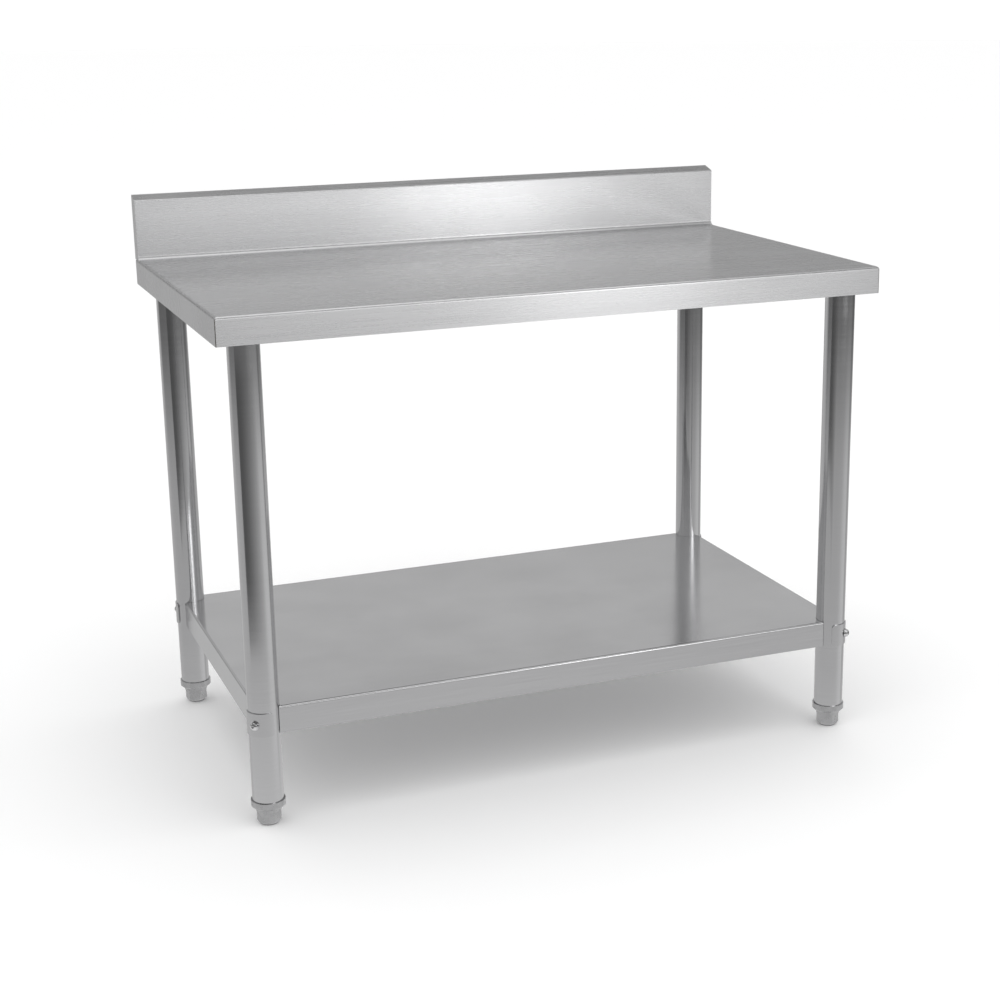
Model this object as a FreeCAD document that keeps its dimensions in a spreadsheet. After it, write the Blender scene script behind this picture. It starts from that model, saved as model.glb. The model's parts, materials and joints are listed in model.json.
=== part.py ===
import FreeCAD, Part
import math
import os
import re

import Sketcher

# Stainless steel work table with a rear splash, round legs and a fixed undershelf.
# Frame: origin on the floor under the middle of the table, +X along its length to the
# right, -Y towards the person who works at it, +Z up. Millimetres.

doc = FreeCAD.newDocument("WorkTable")
sheet = doc.addObject("Spreadsheet::Sheet", "sizes")
vec = FreeCAD.Vector
upwards = vec(0, 0, 1)
near = 0.01
halfTurn = 180

drivingSizes = {
    # worktop: one folded sheet
    "tableLength": 1200,
    "tableDepth": 700,
    "worktopHeight": 885,
    "apronHeight": 48,
    "sheetGauge": 1.2,
    "edgeRadius": 5,
    "cornerRadius": 1.6,
    "returnFlange": 15,
    "splashFrontRise": 112,
    "splashRearRise": 121,
    "splashThickness": 32,
    "splashBend": 2.5,
    "coveRadius": 8,
    # hat channels under the worktop and the undershelf
    "channelWidth": 50,
    "channelLip": 18,
    "channelDepth": 25,
    "channelGauge": 1.5,
    "channelGap": 4,
    # legs
    "legDiameter": 54,
    "legWall": 1.2,
    "legInsetEnd": 53,
    "legInsetSide": 44,
    "socketFlange": 80,
    "socketFlangeThickness": 4,
    "spigotLength": 60,
    "spigotWall": 3,
    "spigotPlay": 0.1,
    "setScrewDrop": 30,
    "setScrewDiameter": 8,
    "setScrewKey": 4,
    # undershelf
    "shelfHeight": 213,
    "shelfStandOff": 15,
    "shelfApron": 48,
    "shelfEdgeRadius": 4,
    "hemHeight": 12,
    "notchGap": 0.6,
    "cradleThickness": 2.5,
    "cradleSpan": 136,
    "hugGap": 0.1,
    # saddle plates and their through bolts
    "saddleDrop": 5,
    "saddleHeight": 41,
    "saddleThickness": 2,
    "saddleSpan": 136,
    "saddleCorner": 6,
    "boltDiameter": 8,
    "boltPlay": 0.5,
    "boltHead": 13.5,
    "boltHeadHeight": 6,
    "boltCrown": 3,
    "boltKey": 5,
    "boltKeyDepth": 3,
    "boltTip": 4,
    "washerDiameter": 16.5,
    "washerThickness": 1.6,
    "nutAcross": 13,
    "nutHeight": 6.5,
    # screw feet
    "collarDiameter": 58.8,
    "collarTop": 44.5,
    "collarHeight": 13,
    "collarChamfer": 2.5,
    "plugLength": 40,
    "stemDiameter": 16,
    "stemPlay": 0.05,
    "stemLength": 50,
    "stemChamfer": 1.5,
    "stemSeatHeight": 11,
    "footGap": 0.4,
    "skirtDiameter": 43.6,
    "skirtHeight": 7,
    "hexAcross": 36,
    "hexChamfer": 4,
    "padDiameter": 31,
    "padThickness": 4,
    "padReveal": 2,
    "padGap": 0.3,
    "padSeatGap": 0.1,
    "padRound": 0.8,
    "padStud": 8,
    "padStudLength": 5,
}

# side of the table, side of the depth, and the turn that points local +X diagonally out
corners = {
    "front_left": (-1, -1, 225),
    "front_right": (1, -1, 315),
    "rear_left": (-1, 1, 135),
    "rear_right": (1, 1, 45),
}
# how far each screw foot stands turned from its diagonal
footTurns = {"front_left": 29, "front_right": 43, "rear_left": 54, "rear_right": 20}

# heights that several pieces share
legTop = "(worktopHeight - sheetGauge - channelDepth - socketFlangeThickness)"
boltHeight = "(shelfHeight - saddleDrop - saddleHeight / 2)"
skirtTop = "(collarTop - collarHeight - footGap)"
skirtBase = f"({skirtTop} - skirtHeight)"

parts = []


def fillSheet():
    for row, (alias, size) in enumerate(drivingSizes.items(), start=1):
        sheet.set(f"A{row}", alias)
        sheet.set(f"B{row}", str(size))
        sheet.setAlias(f"B{row}", alias)
    doc.recompute()


def cells(text):
    # expression with each alias written as a cell of the sheet
    return re.sub(r"[A-Za-z]\w*", lambda m: f"sizes.{m[0]}" if m[0] in drivingSizes else m[0], text)


def value(text):
    return float(sheet.evalExpression(cells(text)))


def newBody(name):
    body = doc.addObject("PartDesign::Body", name)
    body.Label = name
    parts.append(body)
    return body


def place(body, east, north, up, heading=0.0):
    body.Placement = FreeCAD.Placement(vec(0, 0, 0), FreeCAD.Rotation(upwards, heading))
    for axis, text in (("x", east), ("y", north), ("z", up)):
        body.setExpression(f"Placement.Base.{axis}", cells(text))


def placeAtLeg(body, corner, up, extraTurn=0.0):
    side, end, heading = corners[corner]
    east = f"{side} * (tableLength / 2 - legInsetEnd)"
    north = f"{end} * (tableDepth / 2 - legInsetSide)"
    place(body, east, north, up, heading + extraTurn)


def newSketch(body, role, name, offset=None):
    sketch = body.newObject("Sketcher::SketchObject", name)
    plane = next(item for item in body.Origin.OriginFeatures if item.Role == role)
    sketch.AttachmentSupport = [(plane, "")]
    sketch.MapMode = "FlatFace"
    if offset:
        sketch.setExpression("AttachmentOffset.Base.z", cells(offset))
    return sketch


def bindPoint(sketch, geometry, point, east, north):
    for kind, axis, text in (("DistanceX", -2, east), ("DistanceY", -1, north)):
        size = value(text)
        if abs(size) < near:
            sketch.addConstraint(Sketcher.Constraint("PointOnObject", geometry, point, axis))
            continue
        index = sketch.addConstraint(Sketcher.Constraint(kind, -1, 1, geometry, point, size))
        name = f"{kind}{geometry}p{point}"
        sketch.renameConstraint(index, name)
        sketch.setExpression(f"Constraints.{name}", cells(text))


def arcBetween(start, end, radius, clockwise):
    # the shorter arc from start to end; Sketcher keeps every arc anticlockwise
    first, last = (end, start) if clockwise else (start, end)
    chord = last - first
    toLeft = vec(-chord.y, chord.x, 0).normalize()
    centre = (first + last) / 2 + toLeft * math.sqrt(radius ** 2 - (chord.Length / 2) ** 2)
    angles = [math.atan2(point.y - centre.y, point.x - centre.x) for point in (first, last)]
    if angles[1] < angles[0]:
        angles[1] += 2 * math.pi
    return Part.ArcOfCircle(Part.Circle(centre, upwards, radius), *angles)


def addOutline(sketch, outline):
    # closed outline of (x, y), or (x, y, radius, clockwise) where an arc leads to the next corner
    points = [vec(value(corner[0]), value(corner[1]), 0) for corner in outline]
    total = len(outline)
    base = sketch.GeometryCount
    starts = []
    ends = []
    for number, corner in enumerate(outline):
        start, end = points[number], points[(number + 1) % total]
        clockwise = len(corner) > 2 and corner[3]
        if len(corner) > 2:
            curve = arcBetween(start, end, value(corner[2]), clockwise)
        else:
            curve = Part.LineSegment(start, end)
        sketch.addGeometry(curve, False)
        starts.append(2 if clockwise else 1)
        ends.append(1 if clockwise else 2)
    for number, corner in enumerate(outline):
        following = (number + 1) % total
        joined = (base + number, ends[number], base + following, starts[following])
        sketch.addConstraint(Sketcher.Constraint("Coincident", *joined))
        bindPoint(sketch, base + number, starts[number], corner[0], corner[1])
        if len(corner) > 2:
            radius = Sketcher.Constraint("Radius", base + number, value(corner[2]))
            index = sketch.addConstraint(radius)
            sketch.renameConstraint(index, f"radius{number}")
            sketch.setExpression(f"Constraints.radius{number}", cells(corner[2]))


def addRectangle(sketch, width, depth):
    addOutline(sketch, [
        (f"-({width}) / 2", f"-({depth}) / 2"),
        (f"({width}) / 2", f"-({depth}) / 2"),
        (f"({width}) / 2", f"({depth}) / 2"),
        (f"-({width}) / 2", f"({depth}) / 2"),
    ])


def addHexagon(sketch, across, up="0"):
    half, tip = f"({across}) / 2", f"({across}) / sqrt(3)"
    addOutline(sketch, [
        (half, f"{up} - {tip} / 2"), (half, f"{up} + {tip} / 2"), ("0", f"{up} + {tip}"),
        (f"-{half}", f"{up} + {tip} / 2"), (f"-{half}", f"{up} - {tip} / 2"), ("0", f"{up} - {tip}"),
    ])


def addCircle(sketch, east, north, diameter):
    centre = vec(value(east), value(north), 0)
    index = sketch.GeometryCount
    sketch.addGeometry(Part.Circle(centre, upwards, value(diameter) / 2), False)
    bindPoint(sketch, index, 3, east, north)
    size = sketch.addConstraint(Sketcher.Constraint("Diameter", index, value(diameter)))
    sketch.renameConstraint(size, f"diameter{index}")
    sketch.setExpression(f"Constraints.diameter{index}", cells(diameter))


def pad(body, sketch, name, length, midplane=False):
    feature = body.newObject("PartDesign::Pad", name)
    feature.Profile = sketch
    feature.setExpression("Length", cells(length))
    feature.Midplane = midplane
    doc.recompute()
    return feature


def pocket(body, sketch, name, length, midplane=False, reverse=False):
    # cuts against the sketch's normal unless it is reversed
    before = body.Tip.Shape.Volume
    feature = body.newObject("PartDesign::Pocket", name)
    feature.Profile = sketch
    feature.Midplane = midplane
    feature.Reversed = reverse
    feature.setExpression("Length", cells(length))
    doc.recompute()
    if feature.Shape.Volume > before - near:
        raise RuntimeError(f"{body.Label}: {name} cuts nothing")
    return feature


def turn(body, kind, sketch, name, axis):
    # kind is Revolution or Groove
    feature = body.newObject(f"PartDesign::{kind}", name)
    feature.Profile = sketch
    feature.ReferenceAxis = (sketch, [axis])
    feature.Angle = 360
    doc.recompute()
    return feature


def edgesWhere(feature, wanted):
    return [f"Edge{n}" for n, edge in enumerate(feature.Shape.Edges, start=1) if wanted(edge)]


def dressEdges(body, kind, name, wanted, size):
    base = body.Tip
    feature = body.newObject(f"PartDesign::{kind}", name)
    feature.Base = (base, edgesWhere(base, wanted))
    feature.setExpression("Radius" if kind == "Fillet" else "Size", cells(size))
    doc.recompute()
    return feature


def isStraight(edge, direction):
    if len(edge.Vertexes) < 2:
        return False
    run = edge.Vertexes[1].Point - edge.Vertexes[0].Point
    return abs(run.Length - edge.Length) < near and abs(abs(run.dot(direction)) - run.Length) < near


def isAtHeight(edge, height):
    box = edge.BoundBox
    return abs(box.ZMin - height) < near and abs(box.ZMax - height) < near


def shellFromBelow(body, name, bottom):
    # hollows the block to the sheet's gauge and leaves it open underneath
    base = body.Tip
    faces = [
        f"Face{n}" for n, face in enumerate(base.Shape.Faces, start=1)
        if abs(face.BoundBox.ZMin - bottom) < near and abs(face.BoundBox.ZMax - bottom) < near
    ]
    feature = body.newObject("PartDesign::Thickness", name)
    feature.Base = (base, faces)
    feature.setExpression("Value", cells("sheetGauge"))
    feature.Reversed = True
    doc.recompute()
    return feature


def addLip(body, length, depth, reach, height):
    # the aprons' lower edge, folded in level as a return flange or folded flat as a hem
    ring = newSketch(body, "XY_Plane", "lipOutline")
    addRectangle(ring, f"{length} - sheetGauge", f"{depth} - sheetGauge")
    addRectangle(ring, f"{length} - 2 * {reach}", f"{depth} - 2 * {reach}")
    pad(body, ring, "lip", height)


def foldedTray(body, length, depth, height, radius, cornerRadius):
    # a flat sheet with its four edges folded down, modelled from its lower edge up
    block = newSketch(body, "XY_Plane", "trayOutline")
    addRectangle(block, length, depth)
    pad(body, block, "tray", height)
    dressEdges(body, "Fillet", "corners", lambda edge: isStraight(edge, upwards), cornerRadius)
    dressEdges(body, "Fillet", "bends", lambda edge: isAtHeight(edge, value(height)), radius)
    shellFromBelow(body, "hollow", 0)


def makeWorktop():
    body = newBody("worktop")
    foldedTray(body, "tableLength", "tableDepth", "apronHeight", "edgeRadius", "cornerRadius")
    addLip(body, "tableLength", "tableDepth", "returnFlange", "sheetGauge")
    profile = newSketch(body, "YZ_Plane", "splashProfile")
    face = "(tableDepth / 2 - splashThickness)"
    rear = "tableDepth / 2"
    deckUnderside = "apronHeight - sheetGauge"
    addOutline(profile, [
        (f"{face} - coveRadius", deckUnderside),
        (f"{face} - coveRadius", "apronHeight", "coveRadius", False),
        (face, "apronHeight + coveRadius"),
        (face, "apronHeight + splashFrontRise"),
        (rear, "apronHeight + splashRearRise"),
        (rear, deckUnderside),
        (f"{rear} - sheetGauge", deckUnderside),
        (f"{rear} - sheetGauge", "apronHeight + splashRearRise - 2 * sheetGauge"),
        (f"{face} + sheetGauge", "apronHeight + splashFrontRise - sheetGauge"),
        (f"{face} + sheetGauge", deckUnderside),
    ])
    pad(body, profile, "splash", "tableLength", midplane=True)
    rises = (value("apronHeight + splashFrontRise"), value("apronHeight + splashRearRise"))
    outer = (value(face), value(rear))

    def isTopBend(edge):
        spots = zip(outer, rises)
        box = edge.BoundBox
        return any(abs(box.YMin - y) < near and abs(box.ZMax - z) < near for y, z in spots)

    dressEdges(body, "Fillet", "splashBends",
               lambda edge: isStraight(edge, vec(1, 0, 0)) and isTopBend(edge), "splashBend")
    place(body, "0", "0", "worktopHeight - apronHeight")


def makeSplashCap(side, sign):
    # the plate that closes the end of the hollow splash, flush with its edges
    body = newBody(f"splash_cap_{side}")
    profile = newSketch(body, "YZ_Plane", "capProfile")
    face = "tableDepth / 2 - splashThickness + sheetGauge"
    rear = "tableDepth / 2 - sheetGauge"
    addOutline(profile, [
        (face, "0"),
        (rear, "0"),
        (rear, "splashRearRise - 2 * sheetGauge"),
        (face, "splashFrontRise - sheetGauge"),
    ])
    pad(body, profile, "cap", "sheetGauge", midplane=True)
    place(body, f"{sign} * (tableLength - sheetGauge) / 2", "0", "worktopHeight")


def makeChannel(name, plane, length, east, up):
    # hat channel, open side up, its lips against the sheet it stiffens; up is the lips' top
    body = newBody(name)
    profile = newSketch(body, plane, "hatProfile")
    half, lip = "channelWidth / 2", "channelWidth / 2 + channelLip"
    inner = f"{half} - channelGauge"
    addOutline(profile, [
        (f"-({lip})", "0"), (f"-({lip})", "-channelGauge"), (f"-{half}", "-channelGauge"),
        (f"-{half}", "-channelDepth"), (half, "-channelDepth"), (half, "-channelGauge"),
        (lip, "-channelGauge"), (lip, "0"), (inner, "0"),
        (inner, "channelGauge - channelDepth"), (f"-({inner})", "channelGauge - channelDepth"),
        (f"-({inner})", "0"),
    ])
    pad(body, profile, "hat", length, midplane=True)
    place(body, east, "0", up)


def makeSocket(corner):
    # flange welded under the cross channel, with a spigot that the leg slides over
    body = newBody(f"leg_socket_{corner}")
    flange = newSketch(body, "XY_Plane", "flangeOutline")
    addCircle(flange, "0", "0", "socketFlange")
    pad(body, flange, "flange", "socketFlangeThickness")
    outside = "legDiameter - 2 * legWall - 2 * spigotPlay"
    tube = newSketch(body, "XY_Plane", "spigotOutline", "-spigotLength")
    addCircle(tube, "0", "0", outside)
    addCircle(tube, "0", "0", f"{outside} - 2 * spigotWall")
    pad(body, tube, "spigot", "spigotLength")
    hole = newSketch(body, "YZ_Plane", "screwHole")
    addCircle(hole, "0", "-setScrewDrop", "setScrewDiameter + 2 * stemPlay")
    pocket(body, hole, "screwBore", "legDiameter / 2")
    placeAtLeg(body, corner, legTop)


def makeSetScrew(corner):
    # grub screw on the inward side that locks the leg on its spigot
    body = newBody(f"set_screw_{corner}")
    outline = newSketch(body, "YZ_Plane", "screwOutline", "-legDiameter / 2")
    addCircle(outline, "0", "-setScrewDrop", "setScrewDiameter")
    pad(body, outline, "screw", "legWall + spigotPlay + spigotWall")
    key = newSketch(body, "YZ_Plane", "keyOutline", "-legDiameter / 2")
    addHexagon(key, "setScrewKey", "-setScrewDrop")
    pocket(body, key, "key", "boltKeyDepth", reverse=True)
    placeAtLeg(body, corner, legTop)


def makeLeg(corner):
    # round tube from the foot's collar to the socket's flange
    body = newBody(f"leg_{corner}")
    tube = newSketch(body, "XY_Plane", "tubeOutline")
    addCircle(tube, "0", "0", "legDiameter")
    addCircle(tube, "0", "0", "legDiameter - 2 * legWall")
    pad(body, tube, "tube", f"{legTop} - collarTop")
    bolt = newSketch(body, "YZ_Plane", "boltHole")
    addCircle(bolt, "0", f"{boltHeight} - collarTop", "boltDiameter + 2 * boltPlay")
    pocket(body, bolt, "boltBore", "2 * legDiameter", midplane=True)
    screw = newSketch(body, "YZ_Plane", "screwHole")
    addCircle(screw, "0", f"{legTop} - setScrewDrop - collarTop", "setScrewDiameter + 2 * stemPlay")
    pocket(body, screw, "screwBore", "legDiameter")
    placeAtLeg(body, corner, "collarTop")


def makeUndershelf():
    # folded like the worktop, with a round notch at each corner where a leg passes
    body = newBody("undershelf")
    length = "(tableLength - 2 * legInsetEnd + 2 * shelfStandOff)"
    depth = "(tableDepth - 2 * legInsetSide + 2 * shelfStandOff)"
    foldedTray(body, length, depth, "shelfApron", "shelfEdgeRadius", "cornerRadius")
    addLip(body, length, depth, "(2 * sheetGauge)", "hemHeight")
    for corner, (side, end, _) in corners.items():
        notch = newSketch(body, "XY_Plane", f"notch_{corner}")
        addCircle(notch, f"{side} * (tableLength / 2 - legInsetEnd)",
                  f"{end} * (tableDepth / 2 - legInsetSide)", "legDiameter + 2 * notchGap")
        pocket(body, notch, f"notchCut_{corner}", "2 * shelfApron", midplane=True)
    place(body, "0", "0", "shelfHeight - shelfApron")


def addHug(body, thickness, span, height, holeHeight):
    # a band round the local +X side of the leg, modelled from its lower edge up
    inner = "(legDiameter / 2 + hugGap)"
    outer = f"{inner} + {thickness}"
    across, along = f"sin({span} / 2)", f"cos({span} / 2)"
    band = newSketch(body, "XY_Plane", "bandOutline")
    addOutline(band, [
        (f"({outer}) * {along}", f"-({outer}) * {across}", outer, False),
        (f"({outer}) * {along}", f"({outer}) * {across}"),
        (f"({inner}) * {along}", f"({inner}) * {across}", inner, True),
        (f"({inner}) * {along}", f"-({inner}) * {across}"),
    ])
    pad(body, band, "band", height)
    hole = newSketch(body, "YZ_Plane", "boltHole")
    addCircle(hole, "0", holeHeight, "boltDiameter + 2 * boltPlay")
    pocket(body, hole, "boltBore", "legDiameter", reverse=True)


def makeCradle(corner):
    # band inside the shelf's corner, welded to its deck, that the leg is drawn into
    body = newBody(f"shelf_cradle_{corner}")
    base = "(shelfHeight - shelfApron + sheetGauge)"
    height = "(shelfApron - 2 * sheetGauge)"
    addHug(body, "cradleThickness", "cradleSpan", height, f"{boltHeight} - {base}")
    placeAtLeg(body, corner, base, halfTurn)


def makeSaddle(corner):
    # plate with rounded corners that clamps the leg from outside
    body = newBody(f"saddle_plate_{corner}")
    addHug(body, "saddleThickness", "saddleSpan", "saddleHeight", "saddleHeight / 2")
    thickness = value("saddleThickness")

    def isCornerEdge(edge):
        return abs(edge.Length - thickness) < near and abs(edge.BoundBox.ZLength) < near

    dressEdges(body, "Fillet", "cornerRounds", isCornerEdge, "saddleCorner")
    placeAtLeg(body, corner, f"{boltHeight} - saddleHeight / 2")


def makeBolt(corner):
    # button head on the outside, shank through the saddle, the leg and the cradle
    body = newBody(f"saddle_bolt_{corner}")
    seat = "(legDiameter / 2 + hugGap + saddleThickness + washerThickness)"
    tip = "(legDiameter / 2 + hugGap + cradleThickness + washerThickness + nutHeight + boltTip)"
    profile = newSketch(body, "XZ_Plane", "boltProfile")
    rim = f"{seat} + boltHeadHeight - boltCrown"
    crownRadius = "(boltHead * boltHead / 4 + boltCrown * boltCrown) / (2 * boltCrown)"
    addOutline(profile, [
        (f"-{tip}", "0"),
        (f"{seat} + boltHeadHeight", "0", crownRadius, False),
        (rim, "boltHead / 2"),
        (seat, "boltHead / 2"),
        (seat, "boltDiameter / 2"),
        (f"-{tip}", "boltDiameter / 2"),
    ])
    turn(body, "Revolution", profile, "turned", "H_Axis")
    key = newSketch(body, "YZ_Plane", "keyOutline", f"{seat} + boltHeadHeight - boltKeyDepth")
    addHexagon(key, "boltKey", "0")
    pocket(body, key, "key", "boltHeadHeight", reverse=True)
    placeAtLeg(body, corner, boltHeight)


def makeNut(corner):
    body = newBody(f"saddle_nut_{corner}")
    start = "-(legDiameter / 2 + hugGap + cradleThickness + washerThickness + nutHeight)"
    outline = newSketch(body, "YZ_Plane", "nutOutline", start)
    addHexagon(outline, "nutAcross", "0")
    addCircle(outline, "0", "0", "boltDiameter + 2 * stemPlay")
    pad(body, outline, "nut", "nutHeight")
    placeAtLeg(body, corner, boltHeight)


def makeWasher(name, corner, start):
    body = newBody(f"{name}_{corner}")
    outline = newSketch(body, "YZ_Plane", "washerOutline", start)
    addCircle(outline, "0", "0", "washerDiameter")
    addCircle(outline, "0", "0", "boltDiameter + 2 * stemPlay")
    pad(body, outline, "washer", "washerThickness")
    placeAtLeg(body, corner, boltHeight)


def makeInsert(corner):
    # plug pressed into the leg's lower end, with the collar that shows below it
    body = newBody(f"leg_insert_{corner}")
    profile = newSketch(body, "XZ_Plane", "insertProfile")
    bore = "stemDiameter / 2 + stemPlay"
    plug = "legDiameter / 2 - legWall - spigotPlay"
    addOutline(profile, [
        (bore, "-collarHeight"),
        ("collarDiameter / 2 - collarChamfer", "-collarHeight"),
        ("collarDiameter / 2", "collarChamfer - collarHeight"),
        ("collarDiameter / 2", "0"),
        (plug, "0"),
        (plug, "plugLength"),
        (bore, "plugLength"),
    ])
    turn(body, "Revolution", profile, "turned", "V_Axis")
    placeAtLeg(body, corner, "collarTop")


def makeFoot(corner):
    # hexagonal screw foot with a round skirt on top and a seat for its glide pad below
    body = newBody(f"foot_{corner}")
    outline = newSketch(body, "XY_Plane", "hexOutline", "padReveal")
    addHexagon(outline, "hexAcross")
    pad(body, outline, "hex", f"{skirtBase} - padReveal")
    tip = "hexAcross / sqrt(3)"
    cone = newSketch(body, "XZ_Plane", "hexChamferProfile")
    addOutline(cone, [
        (f"{tip} + hexChamfer", "padReveal - hexChamfer"),
        (f"{tip} + hexChamfer", "padReveal + 2 * hexChamfer"),
        (f"{tip} - 2 * hexChamfer", "padReveal - hexChamfer"),
    ])
    turn(body, "Groove", cone, "hexChamfer", "V_Axis")
    skirt = newSketch(body, "XY_Plane", "skirtOutline", skirtBase)
    addCircle(skirt, "0", "0", "skirtDiameter")
    pad(body, skirt, "skirt", "skirtHeight")
    seats = (
        ("padSeat", "padThickness + padSeatGap", "padDiameter + 2 * padGap", "padThickness"),
        ("studSeat", "padThickness + padStudLength + padSeatGap", "padStud + 2 * stemPlay", "hexAcross"),
        ("stemSeat", skirtTop, "stemDiameter + 2 * stemPlay", f"{skirtTop} - stemSeatHeight"),
    )
    for name, start, diameter, depth in seats:
        seat = newSketch(body, "XY_Plane", f"{name}Outline", start)
        addCircle(seat, "0", "0", diameter)
        pocket(body, seat, name, depth)
    placeAtLeg(body, corner, "0", footTurns[corner])


def makeStem(corner):
    # threaded stem, at its thread's outer diameter
    body = newBody(f"foot_stem_{corner}")
    outline = newSketch(body, "XY_Plane", "stemOutline", "stemSeatHeight")
    addCircle(outline, "0", "0", "stemDiameter")
    pad(body, outline, "stem", f"{skirtTop} - stemSeatHeight + stemLength")
    top = value(f"{skirtTop} + stemLength")
    dressEdges(body, "Chamfer", "stemEnd", lambda edge: isAtHeight(edge, top), "stemChamfer")
    placeAtLeg(body, corner, "0")


def makeGlidePad(corner):
    # pad on a stud that stays still on the floor while the foot is turned
    body = newBody(f"glide_pad_{corner}")
    outline = newSketch(body, "XY_Plane", "padOutline")
    addCircle(outline, "0", "0", "padDiameter")
    pad(body, outline, "pad", "padThickness")
    dressEdges(body, "Fillet", "padEdge", lambda edge: isAtHeight(edge, 0), "padRound")
    stud = newSketch(body, "XY_Plane", "studOutline", "padThickness")
    addCircle(stud, "0", "0", "padStud")
    pad(body, stud, "stud", "padStudLength")
    placeAtLeg(body, corner, "0")


def checkAndExport():
    doc.recompute()
    for item in doc.Objects:
        if "Invalid" in item.State or "Error" in item.State:
            raise RuntimeError(f"{item.Label} failed: {item.State}")
    os.makedirs("parts", exist_ok=True)
    for body in parts:
        shape = body.Shape
        if shape.isNull() or not shape.isValid():
            raise RuntimeError(f"{body.Label} has no valid shape")
        if len(shape.Solids) != 1:
            raise RuntimeError(f"{body.Label} is {len(shape.Solids)} solids")
        shape.exportStep(f"parts/{body.Label}.step")


fillSheet()
channelTop = "worktopHeight - sheetGauge"
shelfChannelTop = "shelfHeight - sheetGauge"
clearDepth = "tableDepth - 2 * sheetGauge - 2 * channelGap"
legX = "(tableLength / 2 - legInsetEnd)"

makeWorktop()
for side, sign in (("left", -1), ("right", 1)):
    makeSplashCap(side, sign)
    makeChannel(f"cross_channel_{side}", "XZ_Plane", clearDepth, f"{sign} * {legX}", channelTop)
makeChannel("long_channel", "YZ_Plane",
            f"2 * {legX} - channelWidth - 2 * channelLip - 2 * channelGap", "0", channelTop)
makeUndershelf()
makeChannel("shelf_channel", "YZ_Plane",
            f"2 * {legX} - 2 * channelGap", "0", shelfChannelTop)
for corner in corners:
    makeSocket(corner)
    makeSetScrew(corner)
    makeLeg(corner)
    makeCradle(corner)
    makeSaddle(corner)
    makeBolt(corner)
    makeWasher("outer_washer", corner, "legDiameter / 2 + hugGap + saddleThickness")
    makeWasher("inner_washer", corner,
               "-(legDiameter / 2 + hugGap + cradleThickness + washerThickness)")
    makeNut(corner)
    makeInsert(corner)
    makeFoot(corner)
    makeStem(corner)
    makeGlidePad(corner)
checkAndExport()
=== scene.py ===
import json
import math

import bmesh
import bpy
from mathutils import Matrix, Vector


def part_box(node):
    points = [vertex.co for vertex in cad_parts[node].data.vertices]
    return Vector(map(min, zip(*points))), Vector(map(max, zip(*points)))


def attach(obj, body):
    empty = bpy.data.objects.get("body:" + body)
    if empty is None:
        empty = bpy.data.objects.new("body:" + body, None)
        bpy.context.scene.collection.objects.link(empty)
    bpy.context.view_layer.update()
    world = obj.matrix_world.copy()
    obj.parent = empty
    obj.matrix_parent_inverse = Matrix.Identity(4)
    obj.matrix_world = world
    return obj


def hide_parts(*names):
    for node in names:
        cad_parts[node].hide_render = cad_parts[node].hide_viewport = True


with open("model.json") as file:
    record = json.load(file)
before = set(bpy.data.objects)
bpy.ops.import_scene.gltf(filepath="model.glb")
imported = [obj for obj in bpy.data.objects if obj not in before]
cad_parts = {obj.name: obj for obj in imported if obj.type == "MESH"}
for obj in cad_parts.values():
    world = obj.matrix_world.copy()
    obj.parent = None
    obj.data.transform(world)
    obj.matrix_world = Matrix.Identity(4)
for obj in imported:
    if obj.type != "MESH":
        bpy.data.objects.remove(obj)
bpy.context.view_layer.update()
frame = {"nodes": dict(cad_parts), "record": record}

corners = ("front_left", "front_right", "rear_left", "rear_right")
mm = 0.001
fullTurn = 2 * math.pi
quarterTurn = Vector((0.0, 0.0, 1.0)).rotation_difference(Vector((0.0, 1.0, 0.0))).to_matrix()
upAxis = (0.0, 0.0, 1.0)
mergeDistance = 0.01 * mm


def linearColour(hexValue):
    # sRGB hex to the linear values a shader wants
    channels = [int(hexValue[i:i + 2], 16) / 255 for i in (1, 3, 5)]
    return [c / 12.92 if c <= 0.04045 else ((c + 0.055) / 1.055) ** 2.4 for c in channels] + [1.0]


def addNode(tree, kind, settings=None, sockets=None):
    # settings are the node's own options, sockets take a value or another node's output
    node = tree.nodes.new(kind)
    for name, value in (settings or {}).items():
        setattr(node, name, value)
    for name, value in (sockets or {}).items():
        if isinstance(value, bpy.types.NodeSocket):
            tree.links.new(value, node.inputs[name])
        else:
            node.inputs[name].default_value = value
    return node


def newMaterial(name):
    material = bpy.data.materials.new(name)
    material.use_nodes = True
    material.node_tree.nodes.clear()
    return material, material.node_tree


def stretchedNoise(tree, place, grain, detail=3.0):
    # noise drawn out along the axes whose grain size is long
    scale = [1 / size for size in grain]
    spread = addNode(tree, "ShaderNodeMapping", sockets={"Vector": place, "Scale": scale})
    return addNode(tree, "ShaderNodeTexNoise", sockets={
        "Vector": spread.outputs["Vector"], "Scale": 1.0, "Detail": detail, "Roughness": 0.6})


brushedSheet = {
    "colour": "#CCCCCD",
    "darkColour": "#C5C5C6",
    "grainPitch": 2.2 * mm,    # real belt brushing is nearer 0.2 mm; coarser so that it shows
    "grainLength": 150 * mm,
    "bandPitch": 22 * mm,
    "bandLength": 900 * mm,
    "scratchPitch": 1.6 * mm,
    "scratchLength": 60 * mm,
    "scratchTurn": math.radians(34),
    "scratchRange": (0.7, 0.76),
    "scratchRoughness": 0.07,
    "smudgeSize": 160 * mm,
    "roughness": (0.25, 0.29),
    "smudgeRange": (0.93, 1.09),
    "endNormal": 0.7,          # a face whose normal leans this far along the length is an end
    "bandShare": 0.25,
    "streakRange": (0.35, 0.65),
    "cloudRange": (0.3, 0.7),
    "anisotropy": 0.8,
    "bumpHeight": 0.003 * mm,
    "bumpStrength": 0.35,
}
shelfSheet = dict(brushedSheet, roughness=(0.16, 0.2), anisotropy=0.7)


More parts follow.
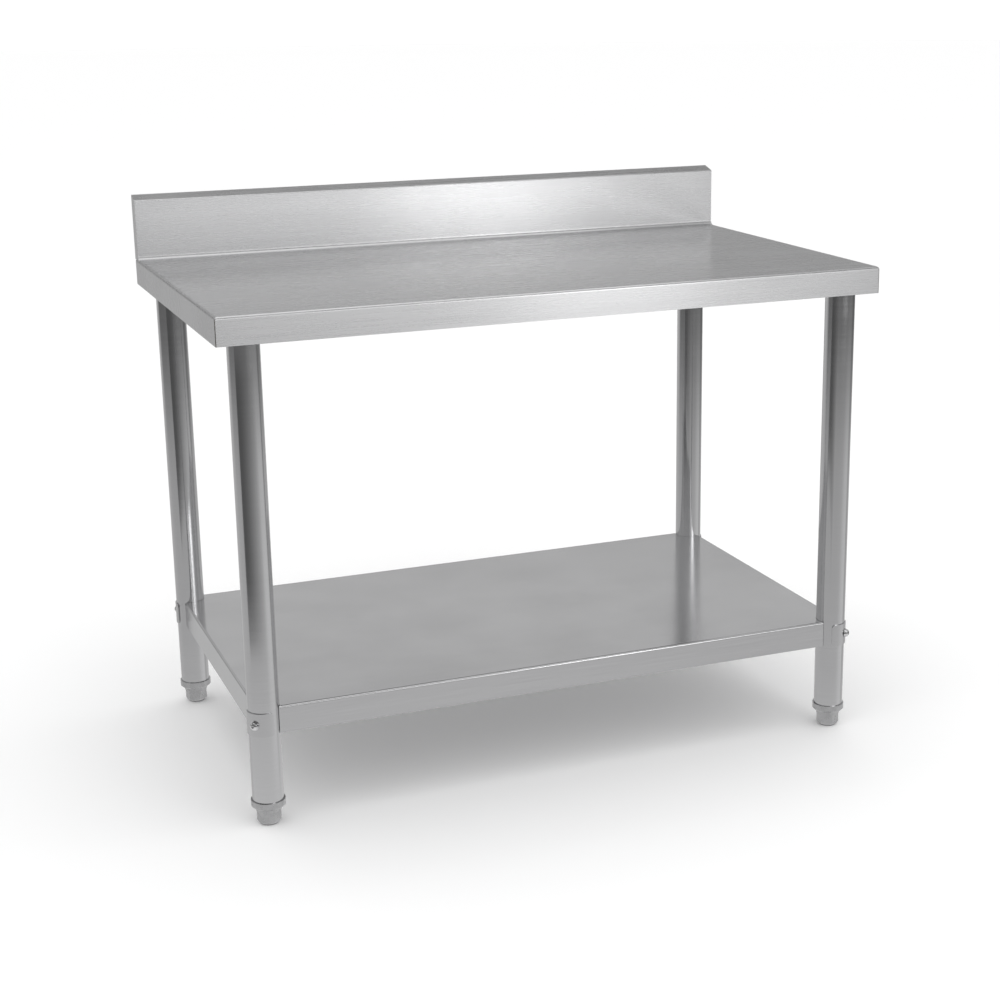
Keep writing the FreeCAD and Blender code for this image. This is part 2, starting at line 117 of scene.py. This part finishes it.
def makeBrushedSheet(name, look):
    # 304 stainless sheet, belt-brushed along its length: fine long streaks that draw a
    # reflection out across the grain, faint wiped patches and a few stray scratches
    material, tree = newMaterial(name)
    inputs = addNode(tree, "ShaderNodeTexCoord")
    place = inputs.outputs["Object"]
    normal = addNode(tree, "ShaderNodeSeparateXYZ", sockets={"Vector": inputs.outputs["Normal"]})
    size = addNode(tree, "ShaderNodeMath", {"operation": "ABSOLUTE"}, {0: normal.outputs["X"]})
    ends = addNode(tree, "ShaderNodeMath", {"operation": "GREATER_THAN"}, {
        0: size.outputs["Value"], 1: look["endNormal"]}).outputs["Value"]
    # the blank is brushed before it is folded, so the grain stands upright on the end aprons
    pitch, length = look["grainPitch"], look["grainLength"]
    flat = stretchedNoise(tree, place, (length, pitch, pitch)).outputs["Fac"]
    upright = stretchedNoise(tree, place, (pitch, pitch, length)).outputs["Fac"]
    grain = addNode(tree, "ShaderNodeMix", {"data_type": "FLOAT"}, {
        0: ends, 2: flat, 3: upright}).outputs[0]
    bands = stretchedNoise(tree, place, (
        look["bandLength"], look["bandPitch"], look["bandPitch"])).outputs["Fac"]
    both = addNode(tree, "ShaderNodeMix", {"data_type": "FLOAT"}, {
        0: look["bandShare"], 2: grain, 3: bands}).outputs[0]
    streaks = addNode(tree, "ShaderNodeMapRange", sockets={
        "Value": both, "From Min": look["streakRange"][0],
        "From Max": look["streakRange"][1]}).outputs["Result"]
    colour = addNode(tree, "ShaderNodeMix", {"data_type": "RGBA"}, {
        0: streaks, 6: linearColour(look["darkColour"]), 7: linearColour(look["colour"])})
    turned = addNode(tree, "ShaderNodeMapping", sockets={
        "Vector": place, "Rotation": (0.0, 0.0, look["scratchTurn"])})
    lines = stretchedNoise(tree, turned.outputs["Vector"], (
        look["scratchLength"], look["scratchPitch"], look["scratchPitch"]), 1.0).outputs["Fac"]
    scratches = addNode(tree, "ShaderNodeMapRange", sockets={
        "Value": lines, "From Min": look["scratchRange"][0], "From Max": look["scratchRange"][1],
        "To Max": look["scratchRoughness"]}).outputs["Result"]
    smudges = addNode(tree, "ShaderNodeTexNoise", sockets={
        "Vector": place, "Scale": 1 / look["smudgeSize"], "Detail": 4.0}).outputs["Fac"]
    wiped = addNode(tree, "ShaderNodeMapRange", sockets={
        "Value": smudges, "From Min": look["cloudRange"][0], "From Max": look["cloudRange"][1],
        "To Min": look["smudgeRange"][0], "To Max": look["smudgeRange"][1]}).outputs["Result"]
    brushed = addNode(tree, "ShaderNodeMapRange", sockets={
        "Value": streaks, "To Min": look["roughness"][0],
        "To Max": look["roughness"][1]}).outputs["Result"]
    rough = addNode(tree, "ShaderNodeMath", {"operation": "MULTIPLY_ADD"}, {
        0: brushed, 1: wiped, 2: scratches}).outputs["Value"]
    bump = addNode(tree, "ShaderNodeBump", sockets={
        "Height": grain, "Strength": look["bumpStrength"], "Distance": look["bumpHeight"]})
    # the smear runs across the grain: up and down a front face, along the depth of a flat one
    across = addNode(tree, "ShaderNodeMix", {"data_type": "VECTOR"}, {
        0: ends, 4: (0.0, 1.0, 1.0), 5: (0.0, 1.0, 0.0)}).outputs[1]
    shader = addNode(tree, "ShaderNodeBsdfPrincipled", sockets={
        "Base Color": colour.outputs[2], "Roughness": rough, "Metallic": 1.0,
        "Anisotropic": look["anisotropy"], "Tangent": across,
        "Normal": bump.outputs["Normal"]})
    addNode(tree, "ShaderNodeOutputMaterial", sockets={"Surface": shader.outputs["BSDF"]})
    return material


satinTube = {
    "colour": "#C8C8C9",
    "darkColour": "#C3C3C4",
    "ringPitch": 2.0 * mm,     # polishing rings, drawn coarser than the real 0.3 mm
    "ringLength": 160 * mm,
    "smudgeSize": 70 * mm,
    "smudgeShare": 0.4,
    "wearRange": (0.35, 0.65),
    "roughness": (0.10, 0.15),
    "bumpHeight": 0.0015 * mm,
    "bumpStrength": 0.5,
}
saddlePlate = dict(satinTube, roughness=(0.2, 0.26), bumpHeight=0.0006 * mm)


def makeSatinTube(name, look):
    # stainless tube satin-polished round its girth: crisp upright bands with faint rings
    material, tree = newMaterial(name)
    place = addNode(tree, "ShaderNodeTexCoord").outputs["Object"]
    rings = stretchedNoise(tree, place, (
        look["ringLength"], look["ringLength"], look["ringPitch"])).outputs["Fac"]
    smudges = addNode(tree, "ShaderNodeTexNoise", sockets={
        "Vector": place, "Scale": 1 / look["smudgeSize"], "Detail": 4.0}).outputs["Fac"]
    worn = addNode(tree, "ShaderNodeMix", {"data_type": "FLOAT"}, {
        0: look["smudgeShare"], 2: rings, 3: smudges}).outputs[0]
    contrast = addNode(tree, "ShaderNodeMapRange", sockets={
        "Value": worn, "From Min": look["wearRange"][0],
        "From Max": look["wearRange"][1]}).outputs["Result"]
    colour = addNode(tree, "ShaderNodeMix", {"data_type": "RGBA"}, {
        0: contrast, 6: linearColour(look["darkColour"]), 7: linearColour(look["colour"])})
    rough = addNode(tree, "ShaderNodeMapRange", sockets={
        "Value": contrast, "To Min": look["roughness"][0],
        "To Max": look["roughness"][1]}).outputs["Result"]
    bump = addNode(tree, "ShaderNodeBump", sockets={
        "Height": rings, "Strength": look["bumpStrength"], "Distance": look["bumpHeight"]})
    shader = addNode(tree, "ShaderNodeBsdfPrincipled", sockets={
        "Base Color": colour.outputs[2], "Roughness": rough, "Metallic": 1.0,
        "Normal": bump.outputs["Normal"]})
    addNode(tree, "ShaderNodeOutputMaterial", sockets={"Surface": shader.outputs["BSDF"]})
    return material


gritty = {"detail": 3.0, "cloudRange": (0.3, 0.7), "bumpStrength": 0.4}
castMetal = {
    "colour": "#C4C4C5", "darkColour": "#AFAFB0", "grit": 1.6 * mm, "cloud": 14 * mm,
    "roughness": (0.22, 0.34), "bumpHeight": 0.02 * mm, "metallic": 1.0,
}
millSteel = {
    "colour": "#A9A9AA", "darkColour": "#8F8F90", "grit": 1.4 * mm, "cloud": 50 * mm,
    "roughness": (0.32, 0.46), "bumpHeight": 0.03 * mm, "metallic": 1.0,
}
polishedSteel = {
    "colour": "#E2E2E3", "darkColour": "#D2D2D3", "grit": 2.0 * mm, "cloud": 6 * mm,
    "roughness": (0.07, 0.13), "bumpHeight": 0.003 * mm, "metallic": 1.0,
}
weldBead = {
    "colour": "#8E8A84", "darkColour": "#6A6764", "grit": 2.2 * mm, "cloud": 7 * mm,
    "roughness": (0.28, 0.5), "bumpHeight": 0.08 * mm, "metallic": 1.0,
}
glideNylon = {
    "colour": "#4C4C4D", "darkColour": "#3A3A3B", "grit": 1.2 * mm, "cloud": 12 * mm,
    "roughness": (0.45, 0.6), "bumpHeight": 0.05 * mm, "metallic": 0.0,
}


def makeGritty(name, look):
    # an even fine tooth under slow cloudy patches: die-cast alloy, mill-finish or machined
    # steel, a brushed-off weld and moulded nylon differ only by their settings
    material, tree = newMaterial(name)
    place = addNode(tree, "ShaderNodeTexCoord").outputs["Object"]
    grit = addNode(tree, "ShaderNodeTexNoise", sockets={
        "Vector": place, "Scale": 1 / look["grit"], "Detail": gritty["detail"]}).outputs["Fac"]
    cloud = addNode(tree, "ShaderNodeTexNoise", sockets={
        "Vector": place, "Scale": 1 / look["cloud"], "Detail": gritty["detail"]}).outputs["Fac"]
    patches = addNode(tree, "ShaderNodeMapRange", sockets={
        "Value": cloud, "From Min": gritty["cloudRange"][0],
        "From Max": gritty["cloudRange"][1]}).outputs["Result"]
    colour = addNode(tree, "ShaderNodeMix", {"data_type": "RGBA"}, {
        0: patches, 6: linearColour(look["darkColour"]), 7: linearColour(look["colour"])})
    rough = addNode(tree, "ShaderNodeMapRange", sockets={
        "Value": patches, "To Min": look["roughness"][0],
        "To Max": look["roughness"][1]}).outputs["Result"]
    bump = addNode(tree, "ShaderNodeBump", sockets={
        "Height": grit, "Strength": gritty["bumpStrength"], "Distance": look["bumpHeight"]})
    shader = addNode(tree, "ShaderNodeBsdfPrincipled", sockets={
        "Base Color": colour.outputs[2], "Roughness": rough, "Metallic": look["metallic"],
        "Normal": bump.outputs["Normal"]})
    addNode(tree, "ShaderNodeOutputMaterial", sockets={"Surface": shader.outputs["BSDF"]})
    return material


print("materials")
millMaterial = makeGritty("mill finish steel", millSteel)
castMaterial = makeGritty("satin die-cast alloy", castMetal)
machinedMaterial = makeGritty("polished machined steel", polishedSteel)
weldMaterial = makeGritty("brushed-off weld", weldBead)
slotMaterials = {
    "top_sheet": makeBrushedSheet("brushed stainless worktop", brushedSheet),
    "shelf_sheet": makeBrushedSheet("brushed stainless undershelf", shelfSheet),
    "channel_sheet": millMaterial,
    "leg_tube": makeSatinTube("satin stainless tube", satinTube),
    "welded_steel": millMaterial,
    "saddle_steel": makeSatinTube("satin stainless saddle", saddlePlate),
    "fastener_steel": machinedMaterial,
    "collar_metal": castMaterial,
    "foot_metal": castMaterial,
    "stem_steel": machinedMaterial,
    "glide_plastic": makeGritty("moulded dark nylon", glideNylon),
}

nodeSlots = {part["node"]: part["material_slot"] for part in frame["record"]["subparts"]}
for node, piece in frame["nodes"].items():
    for place in piece.material_slots:
        place.material = slotMaterials[nodeSlots[node]]


def finishPiece(name, shape, material, body, smooth=True):
    # the shape becomes an object at the origin that rides on a body of the table
    bmesh.ops.recalc_face_normals(shape, faces=shape.faces)
    mesh = bpy.data.meshes.new(name)
    shape.to_mesh(mesh)
    shape.free()
    if smooth:
        mesh.shade_smooth()
    mesh.materials.append(material)
    piece = bpy.data.objects.new(name, mesh)
    bpy.context.scene.collection.objects.link(piece)
    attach(piece, body)
    return piece


def middleOf(node):
    low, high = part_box(node)
    return [(a + b) / 2 for a, b in zip(low, high)]


screwThread = {
    "rootRadius": 6.9 * mm,
    "crestRadius": 8.0 * mm,
    "crestWidth": 0.5 * mm,
    "pitch": 2.5 * mm,
    "stepsPerTurn": 28,
}


def makeThreadedStem(corner):
    # the foot's screw, with a real thread that shows when the foot is wound out
    look = screwThread
    node = "foot_stem_" + corner
    low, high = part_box(node)
    east, north, _ = middleOf(node)
    turns = int((high[2] - low[2]) / look["pitch"]) - 1
    flank = (look["pitch"] - look["crestWidth"]) / 2
    shape = bmesh.new()
    outline = ((look["rootRadius"], 0.0),
               (look["crestRadius"], flank),
               (look["crestRadius"], flank + look["crestWidth"]),
               (look["rootRadius"], look["pitch"]))
    verts = [shape.verts.new((east + radius, north, low[2] + up)) for radius, up in outline]
    edges = [shape.edges.new(pair) for pair in zip(verts, verts[1:])]
    bmesh.ops.spin(shape, geom=verts + edges, cent=(east, north, 0.0), axis=upAxis,
                   dvec=(0.0, 0.0, look["pitch"] / look["stepsPerTurn"]), angle=turns * fullTurn,
                   steps=turns * look["stepsPerTurn"])
    bmesh.ops.remove_doubles(shape, verts=shape.verts, dist=mergeDistance)
    openEdges = [edge for edge in shape.edges if edge.is_boundary]
    bmesh.ops.holes_fill(shape, edges=openEdges, sides=0)
    stem = finishPiece("threaded_stem_" + corner, shape, machinedMaterial,
                       "screw_foot_" + corner, smooth=False)
    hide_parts(node)


socketWeld = {
    "beadRadius": 2.2 * mm,
    "beadSides": 10,
    "ripples": 84,
    "rippleDepth": 0.28 * mm,
    "steps": 336,
}


def makeSocketWeld(corner):
    # the rippled fillet that holds a leg socket to its channel
    look = socketWeld
    node = "leg_socket_" + corner
    low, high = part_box(node)
    east, north, _ = middleOf(node)
    radius = (high[0] - low[0]) / 2
    shape = bmesh.new()
    ring = bmesh.ops.create_circle(shape, segments=look["beadSides"],
                                   radius=look["beadRadius"])["verts"]
    bmesh.ops.rotate(shape, verts=ring, cent=(0.0, 0.0, 0.0), matrix=quarterTurn)
    bmesh.ops.translate(shape, verts=ring, vec=(
        east + radius, north, high[2] - look["beadRadius"] / 2))
    bmesh.ops.spin(shape, geom=shape.verts[:] + shape.edges[:], cent=(east, north, 0.0),
                   axis=upAxis, angle=fullTurn, steps=look["steps"], use_merge=True)
    bmesh.ops.remove_doubles(shape, verts=shape.verts, dist=mergeDistance)
    for vert in shape.verts:
        turn = math.atan2(vert.co.y - north, vert.co.x - east)
        out = Vector((math.cos(turn), math.sin(turn), 0.0))
        vert.co += out * look["rippleDepth"] * math.cos(turn * look["ripples"])
    finishPiece("socket_weld_" + corner, shape, weldMaterial, "table_frame")


cornerWeld = {
    "deckHeight": 885 * mm,
    "beadRadius": 0.75 * mm,
    "inset": 0.75 * mm,
    "topGap": 4.5 * mm,
    "bottomGap": 0.6 * mm,
    "endRound": 0.3 * mm,
    "roundSteps": 2,
    "sides": 16,
}


def makeCornerWeld(side, east):
    # the seam where the folded aprons meet at a front corner, welded and ground nearly flush
    look = cornerWeld
    low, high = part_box("worktop")
    top = look["deckHeight"] - look["topGap"]
    bottom = low[2] + look["bottomGap"]
    shape = bmesh.new()
    bmesh.ops.create_cone(shape, cap_ends=True, segments=look["sides"],
                          radius1=look["beadRadius"], radius2=look["beadRadius"],
                          depth=top - bottom)
    rims = [edge for edge in shape.edges if abs(edge.verts[0].co.z - edge.verts[1].co.z) < mm]
    bmesh.ops.bevel(shape, geom=rims, offset=look["endRound"], affect="EDGES",
                    segments=look["roundSteps"], profile=0.5, material=-1)
    bmesh.ops.translate(shape, verts=shape.verts, vec=(
        east, low[1] + look["inset"], (top + bottom) / 2))
    finishPiece("corner_weld_" + side, shape, weldMaterial, "table_frame")


spotWelds = {
    "radius": 2.8 * mm,
    "rise": 0.35 * mm,
    "spacing": 70 * mm,
    "endGap": 26 * mm,
    "lipMiddle": 34 * mm,
    "lipGauge": 1.5 * mm,
    "sides": 12,
    "rings": 6,
}
spotWeldRows = (("long_channel", 0), ("cross_channel_left", 1), ("cross_channel_right", 1),
                ("shelf_channel", 0))


def makeSpotWelds(node, along, lipUnderside):
    # shallow dimples in two rows where a channel's lips are spot welded to the sheet
    look = spotWelds
    low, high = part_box(node)
    middle = middleOf(node)
    reach = high[along] - low[along] - 2 * look["endGap"]
    count = round(reach / look["spacing"])
    shape = bmesh.new()
    for row in (-1, 1):
        for index in range(count + 1):
            spot = list(middle)
            spot[along] = low[along] + look["endGap"] + reach * index / count
            spot[1 - along] += row * look["lipMiddle"]
            spot[2] = lipUnderside
            dome = bmesh.ops.create_uvsphere(
                shape, u_segments=look["sides"], v_segments=look["rings"],
                radius=look["radius"])["verts"]
            bmesh.ops.scale(shape, verts=dome, vec=(1.0, 1.0, look["rise"] / look["radius"]))
            bmesh.ops.translate(shape, verts=dome, vec=spot)
    finishPiece("spot_welds_" + node, shape, weldMaterial, "table_frame")


print("threads and welds")
for corner in corners:
    makeThreadedStem(corner)
    makeSocketWeld(corner)
tableLow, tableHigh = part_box("worktop")
makeCornerWeld("left", tableLow[0] + cornerWeld["inset"])
makeCornerWeld("right", tableHigh[0] - cornerWeld["inset"])
for node, along in spotWeldRows:
    makeSpotWelds(node, along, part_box(node)[1][2] - spotWelds["lipGauge"])


studio = {
    "floorRadius": 40.0,
    "floorSides": 96,
    "floorColour": "#F6F6F6",
    "skyColour": "#FFFFFF",
    "skyStrength": 1.12,
    # what polished metal mirrors, by height: straight down, the horizon at 0.5, straight up
    "heightStops": ((0.0, 0.8), (0.3, 0.8), (0.345, 0.8), (0.378, 0.72), (0.395, 0.46),
                    (0.415, 0.22), (0.445, 0.18), (0.49, 0.36), (0.53, 0.38), (0.6, 0.38),
                    (0.645, 0.78), (0.7, 0.78), (0.755, 0.1), (0.8, 0.06), (0.86, 0.6),
                    (1.0, 0.9)),
    # and by heading, from the left end round by the front and the right to the rear
    "turnStops": ((0.0, 0.72), (0.18, 0.72), (0.25, 0.72), (0.33, 0.76), (0.4, 0.95), (0.455, 1.0),
                  (0.485, 0.9), (0.5, 0.6), (0.52, 0.6), (0.545, 0.8), (0.6, 0.8), (0.66, 0.55),
                  (0.725, 0.9), (0.8, 0.8), (1.0, 0.72)),
    "wallLevel": (0.62, 0.62, 0.62, 1.0),
    # where the panels give way to the floor below and the ceiling above, by the ray's height
    "floorFade": (-0.34, -0.42),
    "ceilingFade": (0.2, 0.32),
    # where the wall behind takes over, by the ray's reach to the rear and by its height
    "wallFade": (0.5, 0.8),
    "wallTopFade": (0.0, -0.08),
    "keyPower": 7,
    "keySize": (0.75, 1.7),
    "keyPlace": (1.75, -4.3, 1.25),
    "fillPower": 24,
    "fillSize": (3.2, 1.8),
    "fillPlace": (1.45, -4.4, 1.2),
    "topPower": 12,
    "topSize": (3.0, 2.4),
    "topPlace": (0.0, -0.6, 3.4),
    "target": (0.0, 0.0, 0.75),
}
shadeCard = {
    "radius": 0.9,
    "start": math.radians(184),
    "sweep": math.radians(138),
    "steps": 32,
    "height": 0.74,
    "level": 0.1,
    "sideFade": (-1.3, 0.15),
    "mostCover": 0.92,
    "topFade": (0.74, 0.56),
    "floorFade": (0.0, 0.16),
    "floorCover": 0.5,
}
view = {
    "lens": 66.71,
    "sensorWidth": 36.0,
    "shift": (-0.053, -0.012),
    "place": (-1.177, -3.192, 1.387),
    "turn": (74.64, 0.61, -22.07),
}


def makeFloor():
    shape = bmesh.new()
    bmesh.ops.create_circle(shape, cap_ends=True, segments=studio["floorSides"],
                            radius=studio["floorRadius"])
    mesh = bpy.data.meshes.new("floor")
    shape.to_mesh(mesh)
    shape.free()
    floor = bpy.data.objects.new("floor", mesh)
    bpy.context.scene.collection.objects.link(floor)
    material, tree = newMaterial("pale studio floor")
    shader = addNode(tree, "ShaderNodeBsdfPrincipled", sockets={
        "Base Color": linearColour(studio["floorColour"]), "Roughness": 0.9})
    addNode(tree, "ShaderNodeOutputMaterial", sockets={"Surface": shader.outputs["BSDF"]})
    mesh.materials.append(material)
    floor.visible_glossy = False


def makeShadeCard():
    # a curved grey card in front of the left end, seen only in reflections: it gives round
    # tubes their dark side, fading out towards the right, the top and the floor
    look = shadeCard
    east, north, _ = middleOf("leg_front_left")
    shape = bmesh.new()
    foot = shape.verts.new((east + look["radius"] * math.cos(look["start"]),
                            north + look["radius"] * math.sin(look["start"]), 0.0))
    head = shape.verts.new(foot.co + Vector((0.0, 0.0, look["height"])))
    edge = shape.edges.new((foot, head))
    bmesh.ops.spin(shape, geom=[foot, head, edge], cent=(east, north, 0.0), axis=upAxis,
                   angle=look["sweep"], steps=look["steps"])
    mesh = bpy.data.meshes.new("shade_card")
    shape.to_mesh(mesh)
    shape.free()
    card = bpy.data.objects.new("shade_card", mesh)
    bpy.context.scene.collection.objects.link(card)
    material, tree = newMaterial("grey shade card")
    place = addNode(tree, "ShaderNodeTexCoord").outputs["Object"]
    parts = addNode(tree, "ShaderNodeSeparateXYZ", sockets={"Vector": place})
    right = addNode(tree, "ShaderNodeMapRange", sockets={
        "Value": parts.outputs["X"], "From Min": look["sideFade"][0],
        "From Max": look["sideFade"][1], "To Min": look["mostCover"], "To Max": 0.0,
    }).outputs["Result"]
    top = addNode(tree, "ShaderNodeMapRange", {"interpolation_type": "SMOOTHSTEP"}, {
        "Value": parts.outputs["Z"], "From Min": look["topFade"][0],
        "From Max": look["topFade"][1]}).outputs["Result"]
    bottom = addNode(tree, "ShaderNodeMapRange", sockets={
        "Value": parts.outputs["Z"], "From Min": look["floorFade"][0],
        "From Max": look["floorFade"][1], "To Min": look["floorCover"], "To Max": 1.0,
    }).outputs["Result"]
    upright = addNode(tree, "ShaderNodeMath", {"operation": "MULTIPLY"}, {0: top, 1: bottom})
    cover = addNode(tree, "ShaderNodeMath", {"operation": "MULTIPLY"}, {
        0: upright.outputs["Value"], 1: right})
    grey = addNode(tree, "ShaderNodeEmission", sockets={
        "Color": (look["level"], look["level"], look["level"], 1.0)})
    clear = addNode(tree, "ShaderNodeBsdfTransparent")
    mixed = addNode(tree, "ShaderNodeMixShader", sockets={
        0: cover.outputs["Value"], 1: clear.outputs["BSDF"], 2: grey.outputs["Emission"]})
    addNode(tree, "ShaderNodeOutputMaterial", sockets={"Surface": mixed.outputs["Shader"]})
    mesh.materials.append(material)
    card.visible_camera = False
    card.visible_diffuse = False
    card.visible_shadow = False
    card.visible_transmission = False


def addSoftbox(name, place, size, power):
    light = bpy.data.lights.new(name, "AREA")
    light.shape = "RECTANGLE"
    light.size, light.size_y = size
    light.energy = power
    holder = bpy.data.objects.new(name, light)
    bpy.context.scene.collection.objects.link(holder)
    holder.location = place
    aim = Vector(studio["target"]) - Vector(place)
    holder.rotation_euler = aim.to_track_quat("-Z", "Y").to_euler()
    holder.visible_camera = False


def makeWorld():
    # plain white light falls on everything, and only reflection rays see something else: a
    # studio of soft grey panels, which isn't the room that the camera shows
    world = bpy.data.worlds.new("studio")
    bpy.context.scene.world = world
    world.use_nodes = True
    tree = world.node_tree
    tree.nodes.clear()
    direction = addNode(tree, "ShaderNodeTexCoord").outputs["Generated"]
    parts = addNode(tree, "ShaderNodeSeparateXYZ", sockets={"Vector": direction})
    height = parts.outputs["Z"]
    turned = addNode(tree, "ShaderNodeMath", {"operation": "ARCTAN2"}, {
        0: parts.outputs["Y"], 1: parts.outputs["X"]}).outputs["Value"]
    panels = []
    for value, reach, stops in ((height, 1.0, studio["heightStops"]),
                                (turned, math.pi, studio["turnStops"])):
        spot = addNode(tree, "ShaderNodeMapRange", sockets={
            "Value": value, "From Min": -reach, "From Max": reach}).outputs["Result"]
        ramp = addNode(tree, "ShaderNodeValToRGB", sockets={"Fac": spot})
        elements = ramp.color_ramp.elements
        for _ in stops[2:]:
            elements.new(0.5)
        for element, (position, level) in zip(elements, stops):
            element.position = position
            element.color = (level, level, level, 1.0)
        panels.append(ramp.outputs["Color"])
    byHeight, byTurn = panels
    # the panels stand round the horizon
    low = addNode(tree, "ShaderNodeMapRange", sockets={
        "Value": height, "From Min": studio["floorFade"][0],
        "From Max": studio["floorFade"][1]}).outputs["Result"]
    high = addNode(tree, "ShaderNodeMapRange", sockets={
        "Value": height, "From Min": studio["ceilingFade"][0],
        "From Max": studio["ceilingFade"][1]}).outputs["Result"]
    away = addNode(tree, "ShaderNodeMath", {"operation": "MAXIMUM"}, {0: low, 1: high})
    level = addNode(tree, "ShaderNodeMix", {"data_type": "RGBA"}, {
        0: away.outputs["Value"], 6: byTurn, 7: (1.0, 1.0, 1.0, 1.0)})
    mirrored = addNode(tree, "ShaderNodeMix", {"data_type": "RGBA", "blend_type": "MULTIPLY"}, {
        0: 1.0, 6: level.outputs[2], 7: byHeight})
    # the wall behind the table is evenly pale down to the floor
    behind = addNode(tree, "ShaderNodeMapRange", sockets={
        "Value": parts.outputs["Y"], "From Min": studio["wallFade"][0],
        "From Max": studio["wallFade"][1]}).outputs["Result"]
    under = addNode(tree, "ShaderNodeMapRange", sockets={
        "Value": height, "From Min": studio["wallTopFade"][0],
        "From Max": studio["wallTopFade"][1]}).outputs["Result"]
    wall = addNode(tree, "ShaderNodeMath", {"operation": "MULTIPLY"}, {0: behind, 1: under})
    walled = addNode(tree, "ShaderNodeMix", {"data_type": "RGBA"}, {
        0: wall.outputs["Value"], 6: mirrored.outputs[2], 7: studio["wallLevel"]})
    room = addNode(tree, "ShaderNodeBackground", sockets={
        "Color": walled.outputs[2], "Strength": 1.0})
    plain = addNode(tree, "ShaderNodeBackground", sockets={
        "Color": linearColour(studio["skyColour"]), "Strength": studio["skyStrength"]})
    ray = addNode(tree, "ShaderNodeLightPath").outputs["Is Glossy Ray"]
    both = addNode(tree, "ShaderNodeMixShader", sockets={
        0: ray, 1: plain.outputs["Background"], 2: room.outputs["Background"]})
    addNode(tree, "ShaderNodeOutputWorld", sockets={"Surface": both.outputs["Shader"]})


def makeCamera():
    lens = bpy.data.cameras.new("camera")
    lens.lens = view["lens"]
    lens.sensor_width = view["sensorWidth"]
    lens.shift_x, lens.shift_y = view["shift"]
    camera = bpy.data.objects.new("camera", lens)
    bpy.context.scene.collection.objects.link(camera)
    camera.location = view["place"]
    camera.rotation_euler = [math.radians(angle) for angle in view["turn"]]
    bpy.context.scene.camera = camera


print("studio")
makeFloor()
makeShadeCard()
makeWorld()
addSoftbox("key", studio["keyPlace"], studio["keySize"], studio["keyPower"])
addSoftbox("fill", studio["fillPlace"], studio["fillSize"], studio["fillPower"])
addSoftbox("top", studio["topPlace"], studio["topSize"], studio["topPower"])
makeCamera()
bpy.context.scene.view_settings.view_transform = "Standard"
